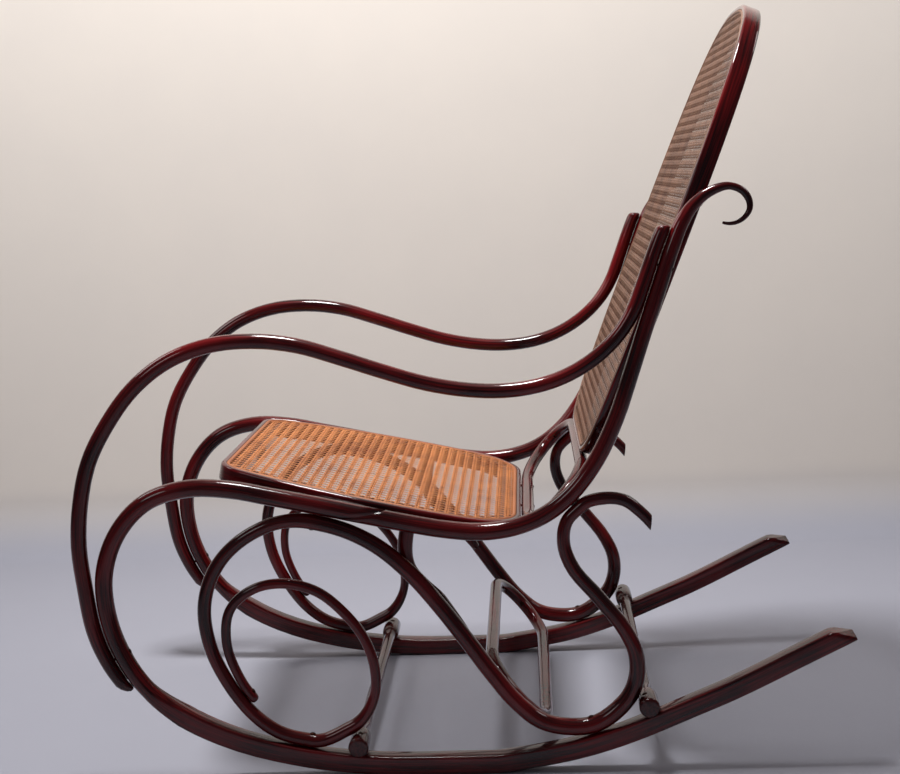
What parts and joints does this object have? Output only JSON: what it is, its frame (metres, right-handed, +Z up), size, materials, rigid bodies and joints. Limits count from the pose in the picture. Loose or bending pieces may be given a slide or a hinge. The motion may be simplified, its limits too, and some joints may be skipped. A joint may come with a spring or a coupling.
{
  "type": "rocking chair",
  "caption": "Bentwood rocking chair: looped side rods that run from the runners to the armrests, scrolls between runner and rail, a caned seat and a tall caned back.",
  "frame": {"origin": "on the floor under the middle of the chair's overall box", "axes": "+X to the sitter's left, +Y to the rear of the chair, +Z up"},
  "size_m": [0.576, 1.0618, 1.0366],
  "materials": {
    "lacquered_wood": "dark red-brown stain under gloss lacquer",
    "seat_cane": "honey-coloured woven cane, satin",
    "back_cane": "brown-grey woven cane, satin",
    "spline": "reed cord, satin",
    "brass_screw": "aged brass"
  },
  "bodies": {
    "root": {"seat_frame": "lacquered_wood", "back_frame": "lacquered_wood", "runner_left": "lacquered_wood", "runner_right": "lacquered_wood", "back_rod_left": "lacquered_wood", "back_rod_right": "lacquered_wood", "arm_left": "lacquered_wood", "arm_right": "lacquered_wood", "scroll_left": "lacquered_wood", "scroll_right": "lacquered_wood", "seat_brace_left": "lacquered_wood", "seat_brace_right": "lacquered_wood", "upper_hoop": "lacquered_wood", "lower_hoop": "lacquered_wood", "front_stretcher": "lacquered_wood", "rear_stretcher": "lacquered_wood", "seat_cane": "seat_cane", "back_cane": "back_cane", "seat_spline": "spline", "back_spline": "spline", "screw_arm_foot_left": "brass_screw", "screw_arm_foot_right": "brass_screw", "screw_arm_top_left": "brass_screw", "screw_arm_top_right": "brass_screw", "screw_scroll_front_left": "brass_screw", "screw_scroll_front_right": "brass_screw", "screw_scroll_rear_left": "brass_screw", "screw_scroll_rear_right": "brass_screw", "screw_scroll_rail_left": "brass_screw", "screw_scroll_rail_right": "brass_screw", "screw_scroll_post_left": "brass_screw", "screw_scroll_post_right": "brass_screw", "screw_scroll_tip_left": "brass_screw", "screw_scroll_tip_right": "brass_screw", "screw_brace_left": "brass_screw", "screw_brace_right": "brass_screw", "screw_seat_front_left": "brass_screw", "screw_seat_front_right": "brass_screw", "screw_seat_rear_left": "brass_screw", "screw_seat_rear_right": "brass_screw", "screw_back_low_left": "brass_screw", "screw_back_low_right": "brass_screw", "screw_back_high_left": "brass_screw", "screw_back_high_right": "brass_screw", "screw_upper_hoop_left": "brass_screw", "screw_upper_hoop_right": "brass_screw", "screw_lower_hoop_left": "brass_screw", "screw_lower_hoop_right": "brass_screw", "screw_hoop_seat_left": "brass_screw", "screw_hoop_seat_right": "brass_screw", "screw_hoop_back_left": "brass_screw", "screw_hoop_back_right": "brass_screw", "screw_front_stretcher_left": "brass_screw", "screw_front_stretcher_right": "brass_screw", "screw_rear_stretcher_left": "brass_screw", "screw_rear_stretcher_right": "brass_screw"}
  },
  "joints": []
}
